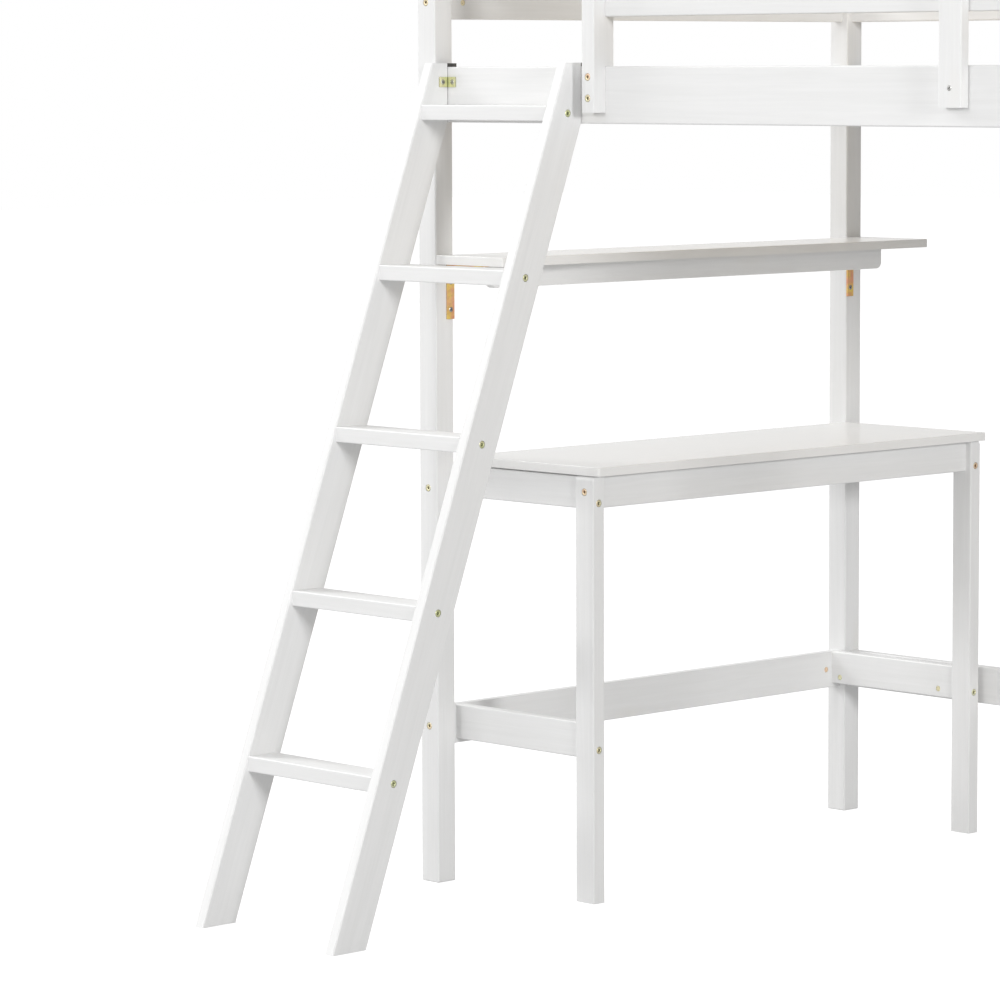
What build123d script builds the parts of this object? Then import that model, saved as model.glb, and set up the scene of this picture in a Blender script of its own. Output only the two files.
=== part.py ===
"""Twin loft bed with a desk and a shelf across its left end and a slanted ladder in front.

The bed is laid out from its front left corner: x runs along the bed to the right, y runs back
towards the wall and z runs up from the floor. place() moves that layout so that the part's
origin is on the floor, at the middle of everything it covers.
"""
from build123d import *
from dataclasses import dataclass
import os

# Overall size, in millimetres
bed_length = 1980
bed_depth = 1070
post_width = 42
post_depth = 40
post_height = 1690

# Boards of the bed frame
board_thickness = 19
end_thickness = 18
face_inset = 9
end_inset = 11.5
rail_bottom = 1286
rail_top = 1378
guard_height = 67
guard_bottoms = (1457, 1603)
low_board_bottom = 233
low_board_top = 300
end_bolt_inset = end_inset + end_thickness / 2
edge_round = 2.5
post_top_chamfer = 2
post_foot_chamfer = 1.5

# Slats and the cleats that carry them
slat_count = 12
slat_width = 80
slat_thickness = 15
cleat_width = 20
cleat_height = 22
cleat_bottom = rail_bottom + 4
cleat_round = 1.5
slat_round = 3
slat_clearance = 2

# Stiles in front of the rail
stile_width = 28
stile_left = 405
stile_front = -17
stile_lip_bottom = 1304
middle_stile_width = 44
middle_stile_left = 1148
middle_stile_bottom = 1315
stile_top = 1682
stile_top_chamfer = 2

# Desk
desk_front = 377
desk_left = 50
desk_right = 1030
desk_height = 725
desk_thickness = 15
leg_width = 42
leg_depth = 26
leg_overhang = 13
leg_crown_radius = 9
apron_height = 55
apron_gap = 2
side_rail_bottom = 241
desk_corner_radius = 4
panel_edge_round = 1.2

# Shelf
shelf_depth = 161
shelf_top = 1064.5
shelf_thickness = 15
shelf_corner_radius = 3
stiffener_height = 39
stiffener_end_gap = 45
stiffener_corner = 12
stiffener_edge_round = 1.5
bracket_width = 16
bracket_plate = 3
bracket_drop = 93
bracket_reach = 88

# Ladder
ladder_slope = 0.372
stringer_thickness = 20
stringer_run = 71
stringer_top = 1384
stringer_left = 44
stringer_gap = 1
ladder_width = 335
rung_count = 5
rung_first = 244
rung_pitch = 261.6
rung_thickness = 25
rung_round = 2
brace_leg = 20
brace_width = 17
brace_plate = 2.5
brace_middle = 1353
brace_round = 0.8
hook_width = 16
hook_side_plate = 3
hook_front_drop = 48
hook_back_drop = 26

# Fasteners
bolt_radius = 3
bolt_head_radius = 6
bolt_head_depth = 4
bolt_length = 84
short_bolt_length = 45
stile_bolt_length = 42
stile_guard_bolt_length = 70
rung_bolt_length = 60
socket_radius = 2.5
socket_depth = 3
nut_radius = 5
nut_length = 14
nut_distance = 77
short_nut_distance = 38
stile_nut_distance = 63
nut_recess = 0.5
screw_radius = 1.8
screw_head_radius = 4
screw_head_depth = 2.4
drive_radius = 1.5
drive_depth = 1.4
drive_slot = 0.6
clearance = 0.2
bore_extra = 2

# Heights of the bolts above the lower edge of the board that each one holds
end_rail_bolts = (34, 58)
long_rail_bolts = (22, 78)
stile_rail_bolts = (41, 75)
end_guard_bolt = 28
long_guard_bolt = 40
end_low_bolt = 34
long_low_bolt = 46
apron_front_bolt = 28
apron_leg_bolt = 10
apron_wall_bolt = 36
wall_apron_bolt = 17
side_rail_leg_bolt = 15
side_rail_wall_bolt = 12

# Screws: how long they are and where they sit
slat_screw_length = 30
cleat_screw_length = 32
cleat_screw_rise = 9
cleat_screw_beside = 30
stile_screw_length = 34
stile_rail_screw = 58
stile_guard_screw = 33
bracket_screw_drops = (28, 74)
bracket_screw_reach = 64
bracket_screw_length = 28
shelf_screw_length = 13
brace_screw_offset = 13
brace_screw_length = 17
hook_screw_drops = (20, 41)
hook_screw_length = 20

# Levels and places that follow from the dimensions above
rail_front_face = face_inset
rail_back_face = bed_depth - face_inset - board_thickness
end_face = end_inset + end_thickness
desk_bottom = desk_height - desk_thickness
apron_bottom = desk_bottom - apron_height
leg_right = desk_front - leg_overhang
leg_left = leg_right - leg_width
side_inset = (leg_depth - end_thickness) / 2
slat_bottom = cleat_bottom + cleat_height
foot_back = rail_front_face - ladder_slope * rail_bottom
foot_front = foot_back - stringer_run
ladder_right = stringer_left + ladder_width
stringer_back = rail_front_face - stringer_gap
origin = (bed_length / 2, (foot_front + bed_depth) / 2, 0)

LEFT = (-1, 0, 0)
RIGHT = (1, 0, 0)
FRONT = (0, -1, 0)
BACK = (0, 1, 0)
DOWN = (0, 0, -1)
UP = (0, 0, 1)


@dataclass
class Pin:
    """A bolt, nut or screw: where its outer end sits, which way it faces and how deep it goes."""

    seat: tuple
    facing: tuple
    depth: float
    radius: float
    head_radius: float = 0
    head_depth: float = 0

    def plane(self):
        return Plane(origin=place(*self.seat), z_dir=self.facing)

    def reach(self):
        """The two opposite corners of the space that the pin takes up."""
        tip = [s - f * self.depth for s, f in zip(self.seat, self.facing)]
        side = [0 if f else max(self.radius, self.head_radius) for f in self.facing]
        low = [min(s, t) - w for s, t, w in zip(self.seat, tip, side)]
        high = [max(s, t) + w for s, t, w in zip(self.seat, tip, side)]
        return low, high


def place(x, y, z):
    """A point of the bed layout, in the part's own frame."""
    return (x - origin[0], y - origin[1], z - origin[2])


def bolt(seat, facing, depth=bolt_length):
    return Pin(seat, facing, depth, bolt_radius, bolt_head_radius, bolt_head_depth)


def nut(seat, facing):
    return Pin(seat, facing, nut_length + nut_recess, nut_radius)


def screw(seat, facing, depth):
    return Pin(seat, facing, depth, screw_radius, screw_head_radius, screw_head_depth)


def crossing(pins, low, high):
    """The pins that pass through the box between two corners."""
    found = []
    for pin in pins:
        pin_low, pin_high = pin.reach()
        apart = [a >= d or c >= b for a, b, c, d in zip(low, high, pin_low, pin_high)]
        if not any(apart):
            found.append(pin)
    return found


def by_size(pins):
    """Lists of the pins that share one size, so that each list is made in one step."""
    sizes = {}
    for pin in pins:
        key = (pin.radius, pin.depth, pin.head_radius, pin.head_depth)
        sizes.setdefault(key, []).append(pin)
    return sizes.values()


def sunk_cylinder(radius, depth, mode):
    """A cylinder that runs down from the plane it stands on."""
    Cylinder(radius, depth, align=(Align.CENTER, Align.CENTER, Align.MAX), mode=mode)


def cut_bores(pins, gap=clearance):
    """Cut the bore and the recessed seat of each pin out of the part being built."""
    for alike in by_size(pins):
        first = alike[0]
        with Locations([pin.plane() for pin in alike]):
            sunk_cylinder(first.radius + gap, first.depth + bore_extra, Mode.SUBTRACT)
            if first.head_radius:
                sunk_cylinder(first.head_radius + gap, first.head_depth + gap, Mode.SUBTRACT)


def add_pins(pins):
    """Add the shank and the head of each pin to the part being built."""
    for alike in by_size(pins):
        first = alike[0]
        with Locations([pin.plane() for pin in alike]):
            sunk_cylinder(first.radius, first.depth, Mode.ADD)
            sunk_cylinder(first.head_radius, first.head_depth, Mode.ADD)


def save(name, piece):
    piece.part.label = name
    export_step(piece.part, f"parts/{name}.step")


def board(low, high, rounding=edge_round):
    """A straight board between two opposite corners, its long edges rounded, bored for its pins."""
    size = [b - a for a, b in zip(low, high)]
    middle = place(*[(a + b) / 2 for a, b in zip(low, high)])
    long_axis = (Axis.X, Axis.Y, Axis.Z)[size.index(max(size))]
    with BuildPart() as piece:
        with Locations(middle):
            Box(*size)
        fillet(piece.edges().filter_by(long_axis), rounding)
        cut_bores(crossing(all_pins, low, high))
    return piece


# ---------------------------------------------------------------------------
# Fastener layout
# ---------------------------------------------------------------------------


def end_board_joint(height):
    """Bolts through all four posts into the end boards at one height, with their nuts."""
    bolts, nuts = [], []
    for x, inner_face, facing in (
        (end_bolt_inset, end_face, RIGHT),
        (bed_length - end_bolt_inset, bed_length - end_face, LEFT),
    ):
        bolts.append(bolt((x, 0, height), FRONT))
        bolts.append(bolt((x, bed_depth, height), BACK))
        nuts.append(nut((inner_face, nut_distance, height), facing))
        nuts.append(nut((inner_face, bed_depth - nut_distance, height), facing))
    return bolts, nuts


def long_board_joint(height, sides):
    """Bolts through the posts' ends into the long boards at one height, with their nuts."""
    bolts, nuts = [], []
    front_middle = rail_front_face + board_thickness / 2
    for side in sides:
        front = side == "front"
        y = front_middle if front else bed_depth - front_middle
        nut_face = rail_front_face + board_thickness if front else rail_back_face
        facing = BACK if front else FRONT
        ends = [(bed_length, RIGHT, bed_length - nut_distance)]
        if not (front and height > rail_top):
            ends.append((0, LEFT, nut_distance))
        for x, outward, nut_x in ends:
            bolts.append(bolt((x, y, height), outward))
            nuts.append(nut((nut_x, nut_face, height), facing))
    return bolts, nuts


def desk_joints():
    """Bolts that hold the desk's aprons and side rails to its legs and to the end boards."""
    bolts, nuts = [], []
    leg_middle = (leg_left + leg_right) / 2
    front_bolt_height = apron_bottom + apron_front_bolt
    for y, outward, inward, side in (
        (desk_left, FRONT, BACK, 1),
        (desk_right, BACK, FRONT, -1),
    ):
        middle = y + side * leg_depth / 2
        inner_face = middle + side * end_thickness / 2
        bolts.append(bolt((leg_middle, y, front_bolt_height), outward))
        nut_place = (leg_middle - end_thickness / 2, y + side * nut_distance, front_bolt_height)
        nuts.append(nut(nut_place, LEFT))
        for height in (apron_bottom + apron_leg_bolt, side_rail_bottom + side_rail_leg_bolt):
            bolts.append(bolt((leg_right, middle, height), RIGHT))
            nuts.append(nut((leg_right - nut_distance, inner_face, height), inward))
        for height in (apron_bottom + apron_wall_bolt, side_rail_bottom + side_rail_wall_bolt):
            bolts.append(bolt((end_inset, middle, height), LEFT, short_bolt_length))
            nuts.append(nut((end_inset + short_nut_distance, inner_face, height), inward))
    wall_bolt_height = apron_bottom + wall_apron_bolt
    bolts.append(bolt((end_bolt_inset, 0, wall_bolt_height), FRONT))
    bolts.append(bolt((end_bolt_inset, bed_depth, wall_bolt_height), BACK))
    nuts.append(nut((end_face, nut_distance, wall_bolt_height), RIGHT))
    nuts.append(nut((end_face, bed_depth - nut_distance, wall_bolt_height), RIGHT))
    return bolts, nuts


def stile_joints():
    """Bolts through the ladder stile into the front rail and into the ends of its guard boards."""
    bolts, nuts = [], []
    middle = stile_left + stile_width / 2
    for rise in stile_rail_bolts:
        bolts.append(bolt((middle, stile_front, rail_bottom + rise), FRONT, stile_bolt_length))
    guard_middle = rail_front_face + board_thickness / 2
    for bottom in guard_bottoms:
        height = bottom + long_guard_bolt
        bolts.append(bolt((stile_left, guard_middle, height), LEFT, stile_guard_bolt_length))
        nut_place = (stile_left + stile_nut_distance, rail_front_face + board_thickness, height)
        nuts.append(nut(nut_place, BACK))
    return bolts, nuts


def connector_joints():
    """Every connector bolt and barrel nut of the bed."""
    both = ("front", "back")
    joints = [
        end_board_joint(low_board_bottom + end_low_bolt),
        long_board_joint(low_board_bottom + long_low_bolt, ("back",)),
        desk_joints(),
        stile_joints(),
    ]
    for rise in end_rail_bolts:
        joints.append(end_board_joint(rail_bottom + rise))
    for rise in long_rail_bolts:
        joints.append(long_board_joint(rail_bottom + rise, both))
    for bottom in guard_bottoms:
        joints.append(end_board_joint(bottom + end_guard_bolt))
        joints.append(long_board_joint(bottom + long_guard_bolt, both))
    bolts = [pin for pair in joints for pin in pair[0]]
    nuts = [pin for pair in joints for pin in pair[1]]
    return bolts, nuts


def rung_heights():
    return [rung_first + i * rung_pitch for i in range(rung_count)]


def rung_edges(bottom):
    """Front and back of a rung: both stay inside the slanted stringers."""
    front = foot_front + ladder_slope * (bottom + rung_thickness)
    back = min(foot_back + ladder_slope * bottom, stringer_back)
    return front, back


def rung_joints():
    """One bolt through each stringer into each end of each rung."""
    bolts = []
    for bottom in rung_heights():
        front, back = rung_edges(bottom)
        middle = ((front + back) / 2, bottom + rung_thickness / 2)
        bolts.append(bolt((stringer_left, *middle), LEFT, rung_bolt_length))
        bolts.append(bolt((ladder_right, *middle), RIGHT, rung_bolt_length))
    return bolts


def slat_places():
    """The left edge of each slat, evenly spaced between the two end rails."""
    gap = (bed_length - 2 * end_face - slat_count * slat_width) / (slat_count + 1)
    return [end_face + gap + i * (slat_width + gap) for i in range(slat_count)]


def slat_screws():
    """A screw down through each end of each slat, and screws through the cleats into the rails."""
    screws = []
    cleat_middle = rail_front_face + board_thickness + cleat_width / 2
    cleat_face = rail_front_face + board_thickness + cleat_width
    slat_top = slat_bottom + slat_thickness
    cleat_screw_height = cleat_bottom + cleat_screw_rise
    for x in slat_places():
        for y in (cleat_middle, bed_depth - cleat_middle):
            screws.append(screw((x + slat_width / 2, y, slat_top), UP, slat_screw_length))
    for x in slat_places()[::2]:
        beside = x + slat_width + cleat_screw_beside
        for y, facing in ((cleat_face, BACK), (bed_depth - cleat_face, FRONT)):
            screws.append(screw((beside, y, cleat_screw_height), facing, cleat_screw_length))
    return screws


def stile_screws():
    """Screws through the middle stile into the front rail and the guard boards."""
    screws = []
    x = middle_stile_left + middle_stile_width / 2
    y = rail_front_face - board_thickness
    guard_heights = [bottom + stile_guard_screw for bottom in guard_bottoms]
    for height in (rail_bottom + stile_rail_screw, *guard_heights):
        screws.append(screw((x, y, height), FRONT, stile_screw_length))
    return screws


def bracket_screws():
    """Screws through each shelf bracket into its post and up into the shelf board."""
    screws = []
    under_shelf = shelf_top - shelf_thickness - bracket_plate
    for y in bracket_middles():
        for drop in bracket_screw_drops:
            seat = (post_width + bracket_plate, y, under_shelf - drop)
            screws.append(screw(seat, RIGHT, bracket_screw_length))
        seat = (post_width + bracket_screw_reach, y, under_shelf)
        screws.append(screw(seat, DOWN, shelf_screw_length))
    return screws


def ladder_screws():
    """Screws of the braces between the stringers and the rail, and of the hooks behind them."""
    screws = []
    for x, side, facing in ladder_inner_faces():
        seat = (x + side * brace_plate, rail_front_face - brace_screw_offset, brace_middle)
        screws.append(screw(seat, facing, brace_screw_length))
        seat = (x + side * brace_screw_offset, rail_front_face - brace_plate, brace_middle)
        screws.append(screw(seat, FRONT, brace_screw_length))
        for drop in hook_screw_drops:
            seat = (x - side * stringer_thickness / 2, rail_front_face, stringer_top - drop)
            screws.append(screw(seat, BACK, hook_screw_length))
    return screws


def bracket_middles():
    """The shelf brackets sit along the inner edge of each post."""
    inset = post_depth - bracket_width / 2
    return (inset, bed_depth - inset)


def ladder_inner_faces():
    """The inner face of each stringer, with the direction that looks into the ladder."""
    return (
        (stringer_left + stringer_thickness, 1, RIGHT),
        (ladder_right - stringer_thickness, -1, LEFT),
    )


connector_bolts, barrel_nuts = connector_joints()
rung_bolts = rung_joints()
wood_screws = slat_screws() + stile_screws() + bracket_screws() + ladder_screws()
all_pins = connector_bolts + barrel_nuts + rung_bolts + wood_screws


# ---------------------------------------------------------------------------
# Bed frame
# ---------------------------------------------------------------------------


def make_posts():
    """Four corner posts, from the floor to above the guard boards, with eased tops and feet."""
    for end, x in (("left", 0), ("right", bed_length - post_width)):
        for side, y in (("front", 0), ("back", bed_depth - post_depth)):
            low = (x, y, 0)
            high = (x + post_width, y + post_depth, post_height)
            with BuildPart() as post:
                with Locations(place(x + post_width / 2, y + post_depth / 2, post_height / 2)):
                    Box(post_width, post_depth, post_height)
                fillet(post.edges().filter_by(Axis.Z), edge_round)
                chamfer(post.faces().sort_by(Axis.Z)[-1].edges(), post_top_chamfer)
                chamfer(post.faces().sort_by(Axis.Z)[0].edges(), post_foot_chamfer)
                cut_bores(crossing(all_pins, low, high))
            save(f"post_{side}_{end}", post)


def make_long_boards():
    """The boards that run along the bed between the posts, front and back."""
    inner_left = post_width
    inner_right = bed_length - post_width
    faces = {
        "front": (rail_front_face, rail_front_face + board_thickness),
        "back": (rail_back_face, rail_back_face + board_thickness),
    }
    for side, (near, far) in faces.items():
        save(f"rail_{side}", board((inner_left, near, rail_bottom), (inner_right, far, rail_top)))
        start = stile_left + stile_width if side == "front" else inner_left
        for row, bottom in zip(("lower", "upper"), guard_bottoms):
            guard = board((start, near, bottom), (inner_right, far, bottom + guard_height))
            save(f"guard_{side}_{row}", guard)
    near, far = faces["back"]
    low_rail = board((inner_left, near, low_board_bottom), (inner_right, far, low_board_top))
    save("rail_back_low", low_rail)


def make_end_boards():
    """The boards across each end, from the front post to the back post."""
    heights = {
        "board_low": (low_board_bottom, low_board_top),
        "rail": (rail_bottom, rail_top),
        "guard_lower": (guard_bottoms[0], guard_bottoms[0] + guard_height),
        "guard_upper": (guard_bottoms[1], guard_bottoms[1] + guard_height),
    }
    for end, x in (("left", end_inset), ("right", bed_length - end_face)):
        for kind, (bottom, top) in heights.items():
            low = (x, post_depth, bottom)
            high = (x + end_thickness, bed_depth - post_depth, top)
            save(f"end_{end}_{kind}", board(low, high))


def make_slats():
    """Cleats along the inside of both rails, and the slats that lie on them."""
    inside_front = rail_front_face + board_thickness
    top = cleat_bottom + cleat_height
    for side, near in (("front", inside_front), ("back", rail_back_face - cleat_width)):
        low = (post_width + slat_clearance, near, cleat_bottom)
        high = (bed_length - post_width - slat_clearance, near + cleat_width, top)
        save(f"cleat_{side}", board(low, high, cleat_round))
    for i, x in enumerate(slat_places(), start=1):
        low = (x, inside_front + slat_clearance, top)
        high = (x + slat_width, rail_back_face - slat_clearance, top + slat_thickness)
        save(f"slat_{i:02d}", board(low, high, slat_round))


def make_ladder_stile():
    """The stile beside the ladder opening: a lip hangs in front of the rail, the rest stands on it."""
    back = rail_front_face + board_thickness
    low = (stile_left, stile_front, stile_lip_bottom)
    high = (stile_left + stile_width, back, stile_top)
    with BuildPart() as stile:
        with BuildSketch(Plane.YZ.offset(place(stile_left, 0, 0)[0])):
            with BuildLine():
                Polyline(
                    [
                        place(0, y, z)[1:]
                        for y, z in (
                            (stile_front, stile_lip_bottom),
                            (rail_front_face, stile_lip_bottom),
                            (rail_front_face, rail_top),
                            (back, rail_top),
                            (back, stile_top),
                            (stile_front, stile_top),
                        )
                    ],
                    close=True,
                )
            make_face()
        extrude(amount=stile_width)
        front_edges = stile.faces().sort_by(Axis.Y)[0].edges()
        fillet(front_edges.filter_by(Axis.Z), edge_round)
        chamfer(stile.faces().sort_by(Axis.Z)[-1].edges(), stile_top_chamfer)
        cut_bores(crossing(all_pins, low, high))
    save("stile_ladder", stile)


def make_middle_stile():
    """The flat stile that ties the guard boards to the front rail at the middle of the bed."""
    low = (middle_stile_left, rail_front_face - board_thickness, middle_stile_bottom)
    high = (middle_stile_left + middle_stile_width, rail_front_face, stile_top)
    save("stile_middle", board(low, high))


# ---------------------------------------------------------------------------
# Desk
# ---------------------------------------------------------------------------


def make_desk_legs():
    """Two legs under the desk's open edge, their outer top edges rounded."""
    for side, near in (("front", desk_left), ("back", desk_right - leg_depth)):
        low = (leg_left, near, 0)
        high = (leg_right, near + leg_depth, desk_bottom)
        middle = place(leg_left + leg_width / 2, near + leg_depth / 2, desk_bottom / 2)
        with BuildPart() as leg:
            with Locations(middle):
                Box(leg_width, leg_depth, desk_bottom)
            top_edges = leg.faces().sort_by(Axis.Z)[-1].edges().filter_by(Axis.X)
            fillet(top_edges.sort_by(Axis.Y)[0 if side == "front" else -1], leg_crown_radius)
            fillet(leg.edges().filter_by(Axis.Z), edge_round)
            cut_bores(crossing(all_pins, low, high))
        save(f"desk_leg_{side}", leg)


def make_desk_frame():
    """The low side rails that brace the legs, and the aprons, three of them just clear of the top."""
    apron_top = desk_bottom - apron_gap
    side_faces = {
        "front": desk_left + side_inset,
        "back": desk_right - side_inset - end_thickness,
    }
    for side, near in side_faces.items():
        far = near + end_thickness
        apron = board((end_face, near, apron_bottom), (leg_left, far, apron_top))
        save(f"desk_apron_{side}", apron)
        side_rail = board((end_face, near, side_rail_bottom), (leg_left, far, low_board_top))
        save(f"desk_side_rail_{side}", side_rail)
    apron_left = (leg_left + leg_right - end_thickness) / 2
    long_apron = board(
        (apron_left, desk_left + leg_depth, apron_bottom),
        (apron_left + end_thickness, desk_right - leg_depth, apron_top),
    )
    save("desk_apron_long", long_apron)
    wall_apron = board(
        (end_inset, post_depth, apron_bottom),
        (end_face, bed_depth - post_depth, desk_bottom),
    )
    save("desk_apron_wall", wall_apron)


def make_desk_top():
    """The desk top, a thin panel with softened corners and edges."""
    width = desk_front - post_width
    length = desk_right - desk_left
    middle = (
        (post_width + desk_front) / 2,
        (desk_left + desk_right) / 2,
        desk_height - desk_thickness / 2,
    )
    with BuildPart() as desk_top:
        with Locations(place(*middle)):
            Box(width, length, desk_thickness)
        fillet(desk_top.edges().filter_by(Axis.Z), desk_corner_radius)
        fillet(desk_top.faces().sort_by(Axis.Z)[-1].edges(), panel_edge_round)
        fillet(desk_top.faces().sort_by(Axis.Z)[0].edges(), panel_edge_round)
    save("desk_top", desk_top)


# ---------------------------------------------------------------------------
# Shelf
# ---------------------------------------------------------------------------


def make_shelf():
    """The shelf board across the posts, with a stiffening strip under its middle."""
    under = shelf_top - shelf_thickness
    front = post_width + shelf_depth
    middle = place((post_width + front) / 2, bed_depth / 2, shelf_top - shelf_thickness / 2)
    low = (post_width, 0, under)
    high = (front, bed_depth, shelf_top)
    with BuildPart() as shelf:
        with Locations(middle):
            Box(shelf_depth, bed_depth, shelf_thickness)
        fillet(shelf.edges().filter_by(Axis.Z), shelf_corner_radius)
        fillet(shelf.faces().sort_by(Axis.Z)[-1].edges(), panel_edge_round)
        cut_bores(crossing(all_pins, low, high))
    save("shelf_board", shelf)
    strip_left = (post_width + front - end_thickness) / 2
    strip_length = bed_depth - 2 * stiffener_end_gap
    strip_middle = (strip_left + end_thickness / 2, bed_depth / 2, under - stiffener_height / 2)
    with BuildPart() as strip:
        with Locations(place(*strip_middle)):
            Box(end_thickness, strip_length, stiffener_height)
        lower_corners = strip.faces().sort_by(Axis.Z)[0].edges().filter_by(Axis.X)
        fillet(lower_corners, stiffener_corner)
        lower_edges = strip.faces().sort_by(Axis.Z)[0].edges().filter_by(Axis.Y)
        fillet(lower_edges, stiffener_edge_round)
    save("shelf_stiffener", strip)


def make_shelf_brackets():
    """Two steel angle brackets that carry the shelf from the posts."""
    under = shelf_top - shelf_thickness
    with BuildPart() as brackets:
        for y in bracket_middles():
            with BuildSketch(Plane.XZ.offset(-place(0, y + bracket_width / 2, 0)[1])):
                with BuildLine():
                    Polyline(
                        [
                            place(post_width + x, 0, under + z)[::2]
                            for x, z in (
                                (0, 0),
                                (0, -bracket_drop),
                                (bracket_plate, -bracket_drop),
                                (bracket_plate, -bracket_plate),
                                (bracket_reach, -bracket_plate),
                                (bracket_reach, 0),
                            )
                        ],
                        close=True,
                    )
                make_face()
            extrude(amount=bracket_width)
        cut_bores(wood_screws)
    save("shelf_brackets", brackets)


# ---------------------------------------------------------------------------
# Ladder
# ---------------------------------------------------------------------------


def make_stringers():
    """Two slanted side pieces, cut upright just short of the rail and notched there for the hooks."""
    outline = (
        (foot_front, 0),
        (foot_back, 0),
        (stringer_back, rail_bottom - stringer_gap / ladder_slope),
        (stringer_back, stringer_top),
        (foot_front + ladder_slope * stringer_top, stringer_top),
    )
    notch_height = stringer_top - hook_front_drop / 2
    for side, x in (("left", stringer_left), ("right", ladder_right - stringer_thickness)):
        with BuildPart() as stringer:
            with BuildSketch(Plane.YZ.offset(place(x, 0, 0)[0])):
                with BuildLine():
                    Polyline([place(0, y, z)[1:] for y, z in outline], close=True)
                make_face()
            extrude(amount=stringer_thickness)
            slanted = [edge for edge in stringer.edges() if edge.length > rail_bottom]
            fillet(slanted, edge_round)
            with Locations(place(x + stringer_thickness / 2, rail_front_face, notch_height)):
                Box(hook_width, 2 * hook_side_plate, hook_front_drop, mode=Mode.SUBTRACT)
            cut_bores(
                crossing(
                    all_pins,
                    (x, foot_front, 0),
                    (x + stringer_thickness, rail_front_face, stringer_top),
                )
            )
        save(f"ladder_stringer_{side}", stringer)


def make_rungs():
    """Level treads between the stringers."""
    inner_left = stringer_left + stringer_thickness
    inner_right = ladder_right - stringer_thickness
    for i, bottom in enumerate(rung_heights(), start=1):
        front, back = rung_edges(bottom)
        low = (inner_left, front, bottom)
        high = (inner_right, back, bottom + rung_thickness)
        rung = board(low, high, rung_round)
        save(f"ladder_rung_{i}", rung)


def make_ladder_braces():
    """Small steel angles that fix the stringers to the face of the rail."""
    with BuildPart() as braces:
        for x, side, _ in ladder_inner_faces():
            with BuildSketch(Plane.XY.offset(brace_middle - brace_width / 2)):
                with BuildLine():
                    Polyline(
                        [
                            place(x + side * dx, rail_front_face - dy, 0)[:2]
                            for dx, dy in (
                                (0, 0),
                                (brace_leg, 0),
                                (brace_leg, brace_plate),
                                (brace_plate, brace_plate),
                                (brace_plate, brace_leg),
                                (0, brace_leg),
                            )
                        ],
                        close=True,
                    )
                make_face()
            extrude(amount=brace_width)
        fillet(braces.edges().filter_by(Axis.Y), brace_round)
        cut_bores(wood_screws)
    save("ladder_braces", braces)


def make_ladder_hooks():
    """Dark steel hooks let into the backs of the stringers, bent over the top of the rail."""
    front = rail_front_face - hook_side_plate
    rail_back = rail_front_face + board_thickness
    back = rail_back + hook_side_plate
    outline = (
        (front, stringer_top),
        (front, stringer_top - hook_front_drop),
        (rail_front_face, stringer_top - hook_front_drop),
        (rail_front_face, rail_top),
        (rail_back, rail_top),
        (rail_back, stringer_top - hook_back_drop),
        (back, stringer_top - hook_back_drop),
        (back, stringer_top),
    )
    inset = (stringer_thickness - hook_width) / 2
    with BuildPart() as hooks:
        for x in (stringer_left, ladder_right - stringer_thickness):
            with BuildSketch(Plane.YZ.offset(place(x + inset, 0, 0)[0])):
                with BuildLine():
                    Polyline([place(0, y, z)[1:] for y, z in outline], close=True)
                make_face()
            extrude(amount=hook_width)
        cut_bores(wood_screws)
    save("ladder_hooks", hooks)


# ---------------------------------------------------------------------------
# Fasteners
# ---------------------------------------------------------------------------


def make_bolts(name, pins):
    """A group of connector bolts with hexagon sockets."""
    with BuildPart() as bolts:
        add_pins(pins)
        with BuildSketch(*[pin.plane() for pin in pins]):
            RegularPolygon(socket_radius, 6)
        extrude(amount=-socket_depth, mode=Mode.SUBTRACT)
    save(name, bolts)


def make_barrel_nuts():
    """Cross nuts that lie in the boards and take the ends of the connector bolts."""
    with BuildPart() as nuts:
        with Locations([pin.plane().offset(-nut_recess) for pin in barrel_nuts]):
            sunk_cylinder(nut_radius, nut_length, Mode.ADD)
        cut_bores(connector_bolts)
    save("barrel_nuts", nuts)


def make_screws():
    """Countersunk wood screws with cross recesses."""
    with BuildPart() as screws:
        add_pins(wood_screws)
        with BuildSketch(*[pin.plane() for pin in wood_screws]):
            Rectangle(2 * drive_radius, drive_slot)
            Rectangle(drive_slot, 2 * drive_radius)
        extrude(amount=-drive_depth, mode=Mode.SUBTRACT)
    save("wood_screws", screws)


os.makedirs("parts", exist_ok=True)
make_posts()
make_long_boards()
make_end_boards()
make_slats()
make_ladder_stile()
make_middle_stile()
make_desk_legs()
make_desk_frame()
make_desk_top()
make_shelf()
make_shelf_brackets()
make_stringers()
make_rungs()
make_ladder_braces()
make_ladder_hooks()
make_bolts("connector_bolts", connector_bolts)
make_bolts("rung_bolts", rung_bolts)
make_barrel_nuts()
make_screws()
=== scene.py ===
"""A white painted loft bed with a desk, on a pale studio floor in soft light."""
import math

import bmesh
import bpy
from mathutils import Matrix, Vector


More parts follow.
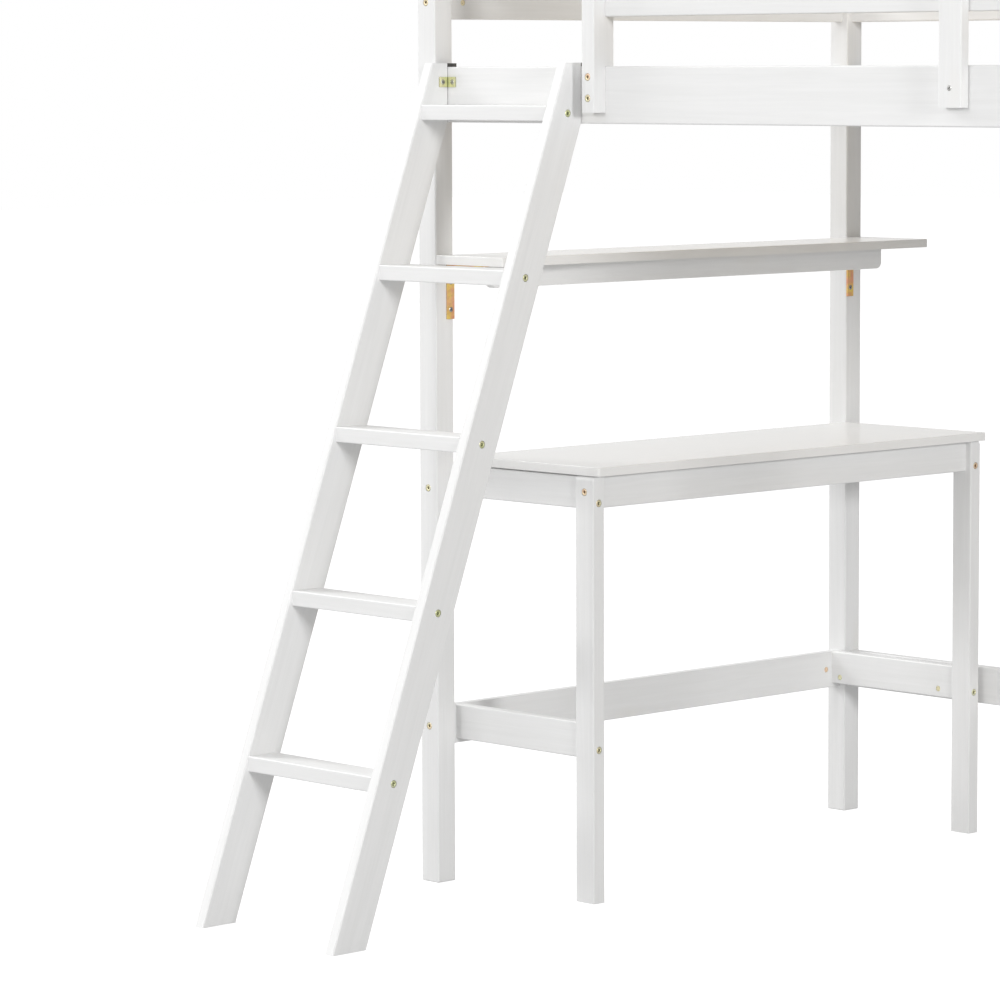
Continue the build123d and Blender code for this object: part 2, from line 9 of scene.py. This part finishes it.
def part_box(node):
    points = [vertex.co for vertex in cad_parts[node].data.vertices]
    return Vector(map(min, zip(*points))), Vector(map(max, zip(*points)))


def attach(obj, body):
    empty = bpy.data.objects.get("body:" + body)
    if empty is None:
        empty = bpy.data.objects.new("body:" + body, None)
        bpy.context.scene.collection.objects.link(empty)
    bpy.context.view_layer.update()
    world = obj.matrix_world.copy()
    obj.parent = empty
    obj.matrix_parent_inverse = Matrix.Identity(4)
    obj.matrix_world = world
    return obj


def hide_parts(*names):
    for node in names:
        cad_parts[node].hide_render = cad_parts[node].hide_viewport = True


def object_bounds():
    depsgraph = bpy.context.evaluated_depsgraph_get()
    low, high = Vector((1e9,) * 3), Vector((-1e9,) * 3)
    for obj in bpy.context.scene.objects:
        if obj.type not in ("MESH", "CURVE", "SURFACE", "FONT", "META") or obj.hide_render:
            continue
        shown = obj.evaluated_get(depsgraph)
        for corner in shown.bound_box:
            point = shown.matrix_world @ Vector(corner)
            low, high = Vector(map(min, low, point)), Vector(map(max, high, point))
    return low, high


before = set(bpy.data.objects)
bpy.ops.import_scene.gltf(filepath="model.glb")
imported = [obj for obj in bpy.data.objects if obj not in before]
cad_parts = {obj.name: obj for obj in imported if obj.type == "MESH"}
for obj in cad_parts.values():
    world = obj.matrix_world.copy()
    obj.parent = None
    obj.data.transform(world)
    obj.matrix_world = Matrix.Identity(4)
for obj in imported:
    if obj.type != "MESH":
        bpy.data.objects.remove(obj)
cad_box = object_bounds()

# The camera, placed from the bed's front left corner, with no lens shift
camera_from_corner = Vector((5.429, -5.017, 1.377))
camera_heading = 46.21
camera_pitch = -5.62
camera_roll = -0.20
camera_lens = 158.3
camera_sensor = 36
camera_reach = 200

# Soft round lights: name, direction they stand in, distance and width in metres, and power in watts
lights = (
    ("front", (-0.10, -0.93, 0.26), 8.0, 1.8, 120),
    ("right", (0.93, -0.22, 0.20), 12.0, 2.0, 570),
    ("left", (-0.84, -0.16, 0.55), 9.0, 3.0, 330),
)

# The sky's light level: away from its bright side, towards it, and what is left of it overhead
sky_direction = (-0.86, -0.50, 0.0)
sky_behind = 0.22
sky_ahead = 1.20
sky_overhead = 0.85

# The floor: its grey, and its own glow as light and as the camera sees it
floor_tone = 0.30
floor_glow = 0.25
floor_glow_seen = 0.90
floor_size = 60

# Turned fasteners. Points round each: a multiple of 6 and 8, to keep hexagons and crosses true
turned_steps = 24
turned_crease = 35

# Connector bolts, in millimetres
bolt_radius = 3.0
bolt_head_radius = 6.0
bolt_head_depth = 4.0
bolt_head_bevel = 0.3
bolt_thread_length = 14
bolt_thread_pitch = 1.25
bolt_thread_root = 2.46
bolt_tip_length = 1.0
bolt_tip_radius = 1.8

# Wood screws, in millimetres
screw_radius = 1.8
screw_head_depth = 2.4
screw_neck = 0.4
screw_plain_shank = 2.0
screw_thread_pitch = 1.8
screw_thread_root = 1.188
screw_tip_length = 3.0
screw_tip_radius = 0.27

# Round outlines of the heads, from the recess outwards: radius, and depth below the top
bolt_head_rim = ((4.8, 0.0), (5.52, 0.2), (5.91, 0.6), (6.0, 1.2))
screw_head_rim = ((3.0, 0.0), (3.6, 0.12), (4.0, 0.4), (4.0, 0.7))

# A bolt's hexagon socket from its floor upwards: corner radius and depth, then its round mouth
socket_walls = ((1.16, 3.2), (2.9, 2.88), (2.9, 0.5))
socket_mouth = (3.248, 0.12)

# A screw's cross recess from its floor upwards: reach and half width of its arms, and depth
recess_walls = ((0.7, 0.187, 1.6), (2.1, 0.56, 1.36), (2.6, 0.69, 0.1))

WHITE = (1, 1, 1)
EVEN = (1, 1, 1)
AXES = {"x": Vector((1, 0, 0)), "y": Vector((0, 1, 0)), "z": Vector((0, 0, 1))}


# ---------------------------------------------------------------------------
# Node helpers
# ---------------------------------------------------------------------------


class Graph:
    """A material's nodes, with short ways to add and join them."""

    def __init__(self, name):
        self.material = bpy.data.materials.new(name)
        self.material.use_nodes = True
        self.tree = self.material.node_tree
        self.shader = self.tree.nodes["Principled BSDF"]

    def add(self, kind, settings=None, **values):
        node = self.tree.nodes.new(kind)
        for key, value in (settings or {}).items():
            setattr(node, key, value)
        for key, value in values.items():
            node.inputs[key.replace("_", " ")].default_value = value
        return node

    def join(self, source, target):
        self.tree.links.new(source, target)

    def shade(self, **values):
        """Constants set directly on the surface shader."""
        for key, value in values.items():
            self.shader.inputs[key.replace("_", " ")].default_value = value

    def coordinates(self, scale, turn_x=0.0, offset=(0, 0, 0)):
        """Object coordinates, turned about X, then scaled."""
        source = self.add("ShaderNodeTexCoord").outputs["Object"]
        turned = self.add("ShaderNodeMapping")
        turned.inputs["Rotation"].default_value = (turn_x, 0, 0)
        turned.inputs["Location"].default_value = offset
        scaled = self.add("ShaderNodeMapping")
        scaled.inputs["Scale"].default_value = scale
        self.join(source, turned.inputs["Vector"])
        self.join(turned.outputs["Vector"], scaled.inputs["Vector"])
        return scaled.outputs["Vector"]

    def noise(self, vector, scale=1.0, detail=4.0, roughness=0.55, distortion=0.0):
        node = self.add(
            "ShaderNodeTexNoise",
            Scale=scale,
            Detail=detail,
            Roughness=roughness,
            Distortion=distortion,
        )
        self.join(vector, node.inputs["Vector"])
        return node.outputs["Fac"]

    def knots(self, vector, core, edge):
        """Scattered knots: 1 within a knot's core, fading to 0 at its edge."""
        node = self.add("ShaderNodeTexVoronoi", Scale=1.0, Randomness=1.0)
        self.join(vector, node.inputs["Vector"])
        return self.spread(node.outputs["Distance"], 1, 0, core, edge)

    def ramp(self, factor, stops):
        """A colour ramp through (position, colour) stops."""
        node = self.add("ShaderNodeValToRGB")
        elements = node.color_ramp.elements
        while len(elements) < len(stops):
            elements.new(0.5)
        for element, (position, color) in zip(elements, stops):
            element.position = position
            element.color = (*color, 1)
        self.join(factor, node.inputs["Fac"])
        return node.outputs["Color"]

    def spread(self, factor, low, high, from_low=0.3, from_high=0.7):
        """Map a factor onto a range of values."""
        node = self.add("ShaderNodeMapRange")
        node.inputs["From Min"].default_value = from_low
        node.inputs["From Max"].default_value = from_high
        node.inputs["To Min"].default_value = low
        node.inputs["To Max"].default_value = high
        self.join(factor, node.inputs["Value"])
        return node.outputs["Result"]

    def blend(self, factor, first, second, mode="MIX"):
        """Mix two colours, where factor is a number or an output."""
        node = self.add("ShaderNodeMix", {"data_type": "RGBA", "blend_type": mode})
        for socket, value in ((0, factor), (6, first), (7, second)):
            if isinstance(value, bpy.types.NodeSocket):
                self.join(value, node.inputs[socket])
            else:
                node.inputs[socket].default_value = value
        return node.outputs[2]

    def calc(self, operation, first, second=0.0):
        node = self.add("ShaderNodeMath", {"operation": operation})
        for socket, value in enumerate((first, second)):
            if isinstance(value, bpy.types.NodeSocket):
                self.join(value, node.inputs[socket])
            else:
                node.inputs[socket].default_value = value
        return node.outputs[0]

    def bump(self, height, distance, strength=1.0, below=None):
        node = self.add("ShaderNodeBump", Strength=strength, Distance=distance)
        self.join(height, node.inputs["Height"])
        if below is not None:
            self.join(below, node.inputs["Normal"])
        return node.outputs["Normal"]

    def finish(self, color, roughness, normal):
        self.join(color, self.shader.inputs["Base Color"])
        self.join(roughness, self.shader.inputs["Roughness"])
        self.join(normal, self.shader.inputs["Normal"])
        return self.material


def along(axis, lengthwise, across):
    """A scale for coordinates: lengthwise along the grain, across it in the other two directions."""
    return tuple(lengthwise if name == axis else across for name in "xyz")


def facing(graph, axis, turn_x=0.0):
    """How squarely the surface faces along the grain: 1 on a board's sawn end, 0 on its sides."""
    normal = graph.add("ShaderNodeNewGeometry").outputs["Normal"]
    direction = Matrix.Rotation(-turn_x, 3, "X") @ AXES[axis]
    dot = graph.add("ShaderNodeVectorMath", {"operation": "DOT_PRODUCT"})
    dot.inputs[1].default_value = direction
    graph.join(normal, dot.inputs[0])
    squareness = graph.calc("ABSOLUTE", dot.outputs["Value"])
    return graph.spread(squareness, 0, 1, from_low=0.75, from_high=0.95)


# ---------------------------------------------------------------------------
# Materials
# ---------------------------------------------------------------------------


def painted_pine(name, axis, turn_x=0.0):
    """Satin white paint over pine: the grain telegraphs through as fine ridges and faint tone."""
    thin_paint = (0.835, 0.835, 0.832)
    full_paint = (0.868, 0.868, 0.866)
    ring_shade = (0.955, 0.955, 0.952)
    cloud_shade = (0.970, 0.970, 0.968)
    knot_tint = (0.80, 0.765, 0.69, 1)
    end_grain_tint = (0.76, 0.755, 0.74, 1)
    g = Graph(name)

    def pattern(scale, offset=(0, 0, 0)):
        return g.coordinates(scale, turn_x, offset)

    fibre = g.noise(pattern(along(axis, 7, 190)), detail=6, roughness=0.6, distortion=0.3)
    rings = g.noise(
        pattern(along(axis, 1.6, 34), (3, 7, 5)), detail=3, roughness=0.5, distortion=1.2
    )
    cloud = g.noise(pattern((3, 3, 3), (11, 2, 8)), detail=2, roughness=0.5)
    brush = g.noise(pattern(along(axis, 22, 520), (5, 5, 1)), detail=3, roughness=0.7)
    knot = g.knots(pattern(along(axis, 3.1, 9), (2, 9, 4)), core=0.05, edge=0.16)
    end_grain = facing(g, axis, turn_x)

    tone = g.ramp(fibre, [(0.30, thin_paint), (0.72, full_paint)])
    tone = g.blend(0.55, tone, g.ramp(rings, [(0.36, ring_shade), (0.60, WHITE)]), "MULTIPLY")
    tone = g.blend(0.8, tone, g.ramp(cloud, [(0.35, cloud_shade), (0.65, WHITE)]), "MULTIPLY")
    tone = g.blend(g.calc("MULTIPLY", knot, 0.16), tone, knot_tint)
    tone = g.blend(g.calc("MULTIPLY", end_grain, 0.30), tone, end_grain_tint)
    roughness = g.spread(brush, 0.36, 0.54)
    normal = g.bump(fibre, distance=0.00022, strength=0.5)
    normal = g.bump(rings, distance=0.0005, strength=0.35, below=normal)
    normal = g.bump(brush, distance=0.00008, strength=0.5, below=normal)
    g.shade(Specular_IOR_Level=0.42, Coat_Weight=0.12, Coat_Roughness=0.32)
    return g.finish(tone, roughness, normal)


def bare_pine(name, axis):
    """Planed pine with growth rings, darker late wood and a few knots."""
    late_wood = (0.76, 0.62, 0.43)
    early_wood = (0.86, 0.75, 0.57)
    fibre_shade = (0.90, 0.88, 0.86)
    knot_tint = (0.38, 0.20, 0.09, 1)
    end_grain_tint = (0.60, 0.44, 0.26, 1)
    ring_frequency = 46.0
    g = Graph(name)
    fibre = g.noise(g.coordinates(along(axis, 9, 260)), detail=6, roughness=0.6)
    warp = g.noise(
        g.coordinates(along(axis, 1.1, 26), offset=(4, 1, 6)), detail=2, roughness=0.4, distortion=1.6
    )
    rings = g.calc("SINE", g.calc("MULTIPLY", warp, ring_frequency))
    knot = g.knots(g.coordinates(along(axis, 2.3, 8), offset=(6, 3, 2)), core=0.05, edge=0.18)
    end_grain = facing(g, axis)

    lightness = g.spread(rings, 0, 1, from_low=-1, from_high=1)
    tone = g.ramp(lightness, [(0.2, late_wood), (0.8, early_wood)])
    tone = g.blend(0.7, tone, g.ramp(fibre, [(0.3, fibre_shade), (0.7, WHITE)]), "MULTIPLY")
    tone = g.blend(g.calc("MULTIPLY", knot, 0.75), tone, knot_tint)
    tone = g.blend(g.calc("MULTIPLY", end_grain, 0.35), tone, end_grain_tint)
    roughness = g.spread(fibre, 0.55, 0.72)
    normal = g.bump(fibre, distance=0.0003, strength=0.5)
    normal = g.bump(rings, distance=0.0002, strength=0.4, below=normal)
    g.shade(Specular_IOR_Level=0.35)
    return g.finish(tone, roughness, normal)


def white_panel(name, axis):
    """A sprayed white fibreboard panel: a fine orange peel, faint roller lines and soft smudges."""
    line_shade = (0.872, 0.868, 0.856)
    clean_white = (0.892, 0.888, 0.878)
    smudge_shade = (0.965, 0.963, 0.958)
    g = Graph(name)
    peel = g.noise(g.coordinates(EVEN), scale=620.0, detail=2, roughness=0.5)
    lines = g.noise(g.coordinates(along(axis, 2.2, 90)), detail=4, roughness=0.6)
    smudge = g.noise(
        g.coordinates(EVEN, offset=(1, 8, 3)), scale=5.0, detail=4, roughness=0.6, distortion=0.8
    )
    tone = g.ramp(lines, [(0.3, line_shade), (0.7, clean_white)])
    tone = g.blend(0.8, tone, g.ramp(smudge, [(0.35, smudge_shade), (0.62, WHITE)]), "MULTIPLY")
    roughness = g.spread(smudge, 0.30, 0.44)
    normal = g.bump(peel, distance=0.00012, strength=0.35)
    normal = g.bump(lines, distance=0.00015, strength=0.3, below=normal)
    g.shade(Specular_IOR_Level=0.5, Coat_Weight=0.6, Coat_Roughness=0.14)
    return g.finish(tone, roughness, normal)


def plated_steel(name, tints, roughness_low, roughness_high, metallic=1.0):
    """Plated steel: two pairs of tints that drift over it, with stains, scratches and painted shade
    that darkens its hollows.
    """
    stain_shade = (0.84, 0.83, 0.82)
    painted_hollow_shade = (0.05, 0.045, 0.035)
    hollow_reach = 0.003
    g = Graph(name)
    wander = g.noise(g.coordinates(EVEN, offset=(4, 7, 2)), scale=6.0, detail=2, roughness=0.6)
    drift = g.noise(g.coordinates(EVEN), scale=38.0, detail=2, roughness=0.5, distortion=0.6)
    stain = g.noise(g.coordinates(EVEN, offset=(9, 4, 6)), scale=210.0, detail=2, roughness=0.5)
    scratch = g.noise(g.coordinates((900, 900, 140)), detail=3, roughness=0.7)
    occlusion = g.add("ShaderNodeAmbientOcclusion", {"samples": 8}, Distance=hollow_reach)

    first = g.ramp(drift, [(0.34, tints[0]), (0.62, tints[1])])
    second = g.ramp(drift, [(0.36, tints[2]), (0.60, tints[3])])
    tone = g.blend(g.spread(wander, 0, 1, from_low=0.44, from_high=0.58), first, second)
    tone = g.blend(0.6, tone, g.ramp(stain, [(0.36, stain_shade), (0.58, WHITE)]), "MULTIPLY")
    # Painted shade: ambient occlusion darkens the hollows, such as the bolt sockets, towards near black
    painted_hollow_shading = g.ramp(occlusion.outputs["AO"], [(0.40, painted_hollow_shade), (0.85, WHITE)])
    tone = g.blend(0.95, tone, painted_hollow_shading, "MULTIPLY")
    roughness = g.spread(scratch, roughness_low, roughness_high)
    normal = g.bump(scratch, distance=0.00004, strength=0.5)
    g.shade(Metallic=metallic)
    return g.finish(tone, roughness, normal)


def powder_coat(name):
    """Black powder coat with a fine texture and rubbed, slightly paler patches."""
    coat_black = (0.060, 0.058, 0.055)
    rubbed_black = (0.110, 0.106, 0.100)
    g = Graph(name)
    grain = g.noise(g.coordinates(EVEN), scale=1500.0, detail=2, roughness=0.5)
    rub = g.noise(g.coordinates(EVEN, offset=(2, 2, 7)), scale=60.0, detail=3, roughness=0.6)
    tone = g.ramp(rub, [(0.4, coat_black), (0.7, rubbed_black)])
    roughness = g.spread(grain, 0.45, 0.62)
    normal = g.bump(grain, distance=0.00010, strength=0.6)
    g.shade(Specular_IOR_Level=0.5)
    return g.finish(tone, roughness, normal)


def ladder_lean():
    """The angle that the stringers lean back from upright."""
    close = 0.001
    points = [vertex.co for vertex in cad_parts["ladder_stringer_left"].data.vertices]
    top_height = max(point.z for point in points)
    foot = min(point.y for point in points if point.z < close)
    top = min(point.y for point in points if point.z > top_height - close)
    return math.atan2(top - foot, top_height)


def make_materials():
    """Every material, by the short name that material_for gives."""
    yellow_green = (0.70, 0.74, 0.40)
    grey_green = (0.80, 0.82, 0.56)
    pale_gold = (0.92, 0.85, 0.56)
    copper = (0.98, 0.68, 0.48)
    rose = (1.0, 0.52, 0.36)
    amber = (1.0, 0.74, 0.20)
    rust = (0.86, 0.34, 0.12)
    silver = (0.62, 0.62, 0.60)
    bright_silver = (0.76, 0.76, 0.74)
    yellow = (grey_green, pale_gold, pale_gold, copper)
    green = (yellow_green, pale_gold, yellow_green, grey_green)
    orange = (rust, amber, rose, amber)
    steel = (silver, bright_silver, bright_silver, silver)
    return {
        "pine_x": painted_pine("painted_pine_along_x", "x"),
        "pine_y": painted_pine("painted_pine_along_y", "y"),
        "pine_z": painted_pine("painted_pine_along_z", "z"),
        "pine_slanted": painted_pine("painted_pine_slanted", "z", ladder_lean()),
        "bare_x": bare_pine("bare_pine_along_x", "x"),
        "bare_y": bare_pine("bare_pine_along_y", "y"),
        "panel": white_panel("white_panel_finish", "y"),
        "yellow_zinc": plated_steel("yellow_zinc_plating", yellow, 0.22, 0.38, metallic=0.6),
        "green_zinc": plated_steel("green_zinc_plating", green, 0.26, 0.42, metallic=0.6),
        "orange_zinc": plated_steel("orange_zinc_plating", orange, 0.30, 0.48, metallic=0.55),
        "screw_steel": plated_steel("screw_steel_plating", steel, 0.20, 0.36),
        "dark_steel": powder_coat("dark_powder_coat"),
    }


def material_for(node):
    """Which material a CAD node wears, with the grain along the board."""
    named = {
        "desk_top": "panel",
        "shelf_board": "panel",
        "connector_bolts": "yellow_zinc",
        "rung_bolts": "green_zinc",
        "barrel_nuts": "yellow_zinc",
        "ladder_braces": "green_zinc",
        "shelf_brackets": "orange_zinc",
        "wood_screws": "screw_steel",
        "ladder_hooks": "dark_steel",
        "cleat_front": "bare_x",
        "cleat_back": "bare_x",
        "ladder_stringer_left": "pine_slanted",
        "ladder_stringer_right": "pine_slanted",
    }
    if node in named:
        return named[node]
    if node.startswith("slat_"):
        return "bare_y"
    low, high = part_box(node)
    size = high - low
    longest = max(range(3), key=lambda i: size[i])
    return "pine_" + "xyz"[longest]


def dress(materials):
    """Give every CAD node its material."""
    for name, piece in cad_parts.items():
        piece.data.materials.clear()
        piece.data.materials.append(materials[material_for(name)])
        for polygon in piece.data.polygons:
            polygon.material_index = 0


# ---------------------------------------------------------------------------
# Fasteners
# ---------------------------------------------------------------------------


def circle(radius):
    return lambda angle: radius


def hexagon(corner_radius):
    """The radius of a hexagon at an angle, with a corner at angle 0."""
    flat = corner_radius * math.cos(math.pi / 6)
    return lambda angle: flat / math.cos(angle % (math.pi / 3) - math.pi / 6)


def cross(reach, half_width):
    """The radius of a cross at an angle, with an arm at angle 0."""

    def radius(angle):
        across, up = abs(math.cos(angle)) + 1e-9, abs(math.sin(angle)) + 1e-9
        return max(min(reach / across, half_width / up), min(reach / up, half_width / across))

    return radius


def thread(start, end, pitch, crest, root):
    """Rings that run from a shank's start down to its end, in and out of each thread."""
    crest_drop, root_drop = 0.35 * pitch, 0.85 * pitch
    rings = []
    for turn in range(round((start - end) / pitch)):
        height = start - turn * pitch
        rings.append((circle(crest), height - crest_drop))
        rings.append((circle(root), height - root_drop))
    return rings


def bolt_rings(length):
    """A connector bolt from the floor of its hexagon socket, over the head and down to its tip."""
    thread_start = bolt_thread_length - length
    thread_end = bolt_tip_length - length
    mouth_radius, mouth_depth = socket_mouth
    return [
        *[(hexagon(corner_radius), -depth) for corner_radius, depth in socket_walls],
        (circle(mouth_radius), -mouth_depth),
        *[(circle(radius), -depth) for radius, depth in bolt_head_rim],
        (circle(bolt_head_radius), bolt_head_bevel - bolt_head_depth),
        (circle(bolt_head_radius - bolt_head_bevel), -bolt_head_depth),
        (circle(bolt_radius), -bolt_head_depth),
        (circle(bolt_radius), thread_start),
        *thread(thread_start, thread_end, bolt_thread_pitch, bolt_radius, bolt_thread_root),
        (circle(bolt_tip_radius), -length),
    ]


def screw_rings(length):
    """A countersunk screw from the floor of its cross recess, over the head and down to its point."""
    thread_start = -screw_head_depth - screw_plain_shank
    thread_end = screw_tip_length - length
    return [
        *[(cross(reach, half_width), -depth) for reach, half_width, depth in recess_walls],
        *[(circle(radius), -depth) for radius, depth in screw_head_rim],
        (circle(screw_radius), -screw_head_depth - screw_neck),
        (circle(screw_radius), thread_start),
        *thread(thread_start, thread_end, screw_thread_pitch, screw_radius, screw_thread_root),
        (circle(screw_tip_radius), -length),
    ]


def loose_parts(mesh):
    """The points of each separate solid in a mesh, once the corners that its faces share are merged."""
    shape = bmesh.new()
    shape.from_mesh(mesh)
    bmesh.ops.remove_doubles(shape, verts=shape.verts, dist=1e-6)
    seen = set()
    parts = []
    for start in shape.verts:
        if start in seen:
            continue
        seen.add(start)
        front = [start]
        part = []
        while front:
            vertex = front.pop()
            part.append(vertex.co.copy())
            for edge in vertex.link_edges:
                other = edge.other_vert(vertex)
                if other not in seen:
                    seen.add(other)
                    front.append(other)
        parts.append(part)
    shape.free()
    return parts


def find_pins(node):
    """Where each pin of a CAD node sits: its head's outer middle, its outward axis and its length."""
    pins = []
    for points in loose_parts(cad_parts[node].data):
        low = Vector([min(point[i] for point in points) for i in range(3)])
        high = Vector([max(point[i] for point in points) for i in range(3)])
        middle, size = (low + high) / 2, high - low
        axis = max(range(3), key=lambda i: size[i])

        def distance_from_axis(point):
            return (point - middle).length_squared - (point - middle)[axis] ** 2

        head = max(points, key=distance_from_axis)
        outward = Vector((0, 0, 0))
        outward[axis] = 1 if head[axis] > middle[axis] else -1
        seat = middle + outward * size[axis] / 2
        pins.append((seat, outward, size[axis]))
    return pins


def add_turned(shape, rings, place):
    """Add a closed turned form to a mesh from its rings, whose sizes are in millimetres."""
    loops = []
    for outline, height in rings:
        loop = []
        for step in range(turned_steps):
            angle = 2 * math.pi * step / turned_steps
            radius = outline(angle)
            point = Vector((radius * math.cos(angle), radius * math.sin(angle), height)) / 1000
            loop.append(shape.verts.new(place @ point))
        loops.append(loop)
    for upper, lower in zip(loops, loops[1:]):
        for i in range(turned_steps):
            j = (i + 1) % turned_steps
            shape.faces.new((upper[i], lower[i], lower[j], upper[j]))
    shape.faces.new(loops[0])
    shape.faces.new(reversed(loops[-1]))


def make_pins(node, make_rings, materials):
    """Replace a CAD node's plain pins with detailed ones of the same size and place."""
    shape = bmesh.new()
    for seat, outward, length in find_pins(node):
        turn = outward.to_track_quat("Z", "Y").to_matrix().to_4x4()
        add_turned(shape, make_rings(length * 1000), Matrix.Translation(seat) @ turn)
    bmesh.ops.recalc_face_normals(shape, faces=shape.faces)
    mesh = bpy.data.meshes.new(node + "_detail")
    shape.to_mesh(mesh)
    shape.free()
    for polygon in mesh.polygons:
        polygon.use_smooth = True
    mesh.set_sharp_from_angle(angle=math.radians(turned_crease))
    piece = bpy.data.objects.new(node + "_detail", mesh)
    bpy.context.collection.objects.link(piece)
    mesh.materials.append(materials[material_for(node)])
    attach(piece, "root")
    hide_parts(node)


def make_fasteners(materials):
    """Detailed bolts and screws in place of the CAD part's plain ones."""
    make_pins("connector_bolts", bolt_rings, materials)
    make_pins("rung_bolts", bolt_rings, materials)
    make_pins("wood_screws", screw_rings, materials)


# ---------------------------------------------------------------------------
# Studio
# ---------------------------------------------------------------------------


def make_floor():
    """A pale floor that looks white to the camera and throws less light on the object."""
    bpy.ops.mesh.primitive_plane_add(size=floor_size, location=(0, 0, 0))
    floor = bpy.context.object
    floor.name = "floor"
    g = Graph("studio_floor")
    g.shade(
        Base_Color=(floor_tone, floor_tone, floor_tone, 1),
        Roughness=0.8,
        Specular_IOR_Level=0.0,
        Emission_Color=(1, 1, 1, 1),
    )
    seen = g.add("ShaderNodeLightPath").outputs["Is Camera Ray"]
    glow = g.spread(seen, floor_glow, floor_glow_seen, 0, 1)
    g.join(glow, g.shader.inputs["Emission Strength"])
    floor.data.materials.append(g.material)


def make_sky():
    """White behind the object; as light, soft and brightest towards the horizon."""
    world = bpy.data.worlds.new("studio")
    bpy.context.scene.world = world
    world.use_nodes = True
    tree = world.node_tree
    background = tree.nodes["Background"]
    background.inputs["Color"].default_value = (1, 1, 1, 1)
    place = tree.nodes.new("ShaderNodeTexCoord").outputs["Generated"]
    ahead = tree.nodes.new("ShaderNodeVectorMath")
    ahead.operation = "DOT_PRODUCT"
    ahead.inputs[1].default_value = sky_direction
    around = tree.nodes.new("ShaderNodeMapRange")
    around.inputs["From Min"].default_value = -1
    around.inputs["To Min"].default_value = sky_behind
    around.inputs["To Max"].default_value = sky_ahead
    split = tree.nodes.new("ShaderNodeSeparateXYZ")
    above = tree.nodes.new("ShaderNodeMapRange")
    above.inputs["To Min"].default_value = 1
    above.inputs["To Max"].default_value = sky_overhead
    level = tree.nodes.new("ShaderNodeMath")
    level.operation = "MULTIPLY"
    seen = tree.nodes.new("ShaderNodeLightPath").outputs["Is Camera Ray"]
    choose = tree.nodes.new("ShaderNodeMix")
    choose.inputs["B"].default_value = 1.0
    tree.links.new(place, ahead.inputs[0])
    tree.links.new(ahead.outputs["Value"], around.inputs["Value"])
    tree.links.new(place, split.inputs["Vector"])
    tree.links.new(split.outputs["Z"], above.inputs["Value"])
    tree.links.new(around.outputs["Result"], level.inputs[0])
    tree.links.new(above.outputs["Result"], level.inputs[1])
    tree.links.new(seen, choose.inputs["Factor"])
    tree.links.new(level.outputs["Value"], choose.inputs["A"])
    tree.links.new(choose.outputs["Result"], background.inputs["Strength"])


def make_lights():
    """Large round softboxes that face the middle of the object."""
    middle = (cad_box[0] + cad_box[1]) / 2
    for name, direction, distance, width, power in lights:
        light = bpy.data.lights.new(name, "AREA")
        light.shape = "DISK"
        light.size = width
        light.energy = power
        lamp = bpy.data.objects.new(name, light)
        towards = Vector(direction).normalized()
        lamp.location = middle + towards * distance
        lamp.rotation_mode = "QUATERNION"
        lamp.rotation_quaternion = towards.to_track_quat("Z", "Y")
        bpy.context.collection.objects.link(lamp)


def make_camera():
    """A long lens, aimed at the ladder and the desk from the front right."""
    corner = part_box("post_front_left")[0]
    data = bpy.data.cameras.new("camera")
    data.lens = camera_lens
    data.sensor_width = camera_sensor
    data.clip_end = camera_reach
    camera = bpy.data.objects.new("camera", data)
    aim = (
        Matrix.Rotation(math.radians(camera_heading), 4, "Z")
        @ Matrix.Rotation(math.radians(90 + camera_pitch), 4, "X")
        @ Matrix.Rotation(math.radians(camera_roll), 4, "Z")
    )
    camera.matrix_world = Matrix.Translation(corner + camera_from_corner) @ aim
    bpy.context.collection.objects.link(camera)
    bpy.context.scene.camera = camera


make_camera()
make_floor()
make_sky()
make_lights()
materials = make_materials()
dress(materials)
make_fasteners(materials)
bpy.context.scene.view_settings.view_transform = "Standard"
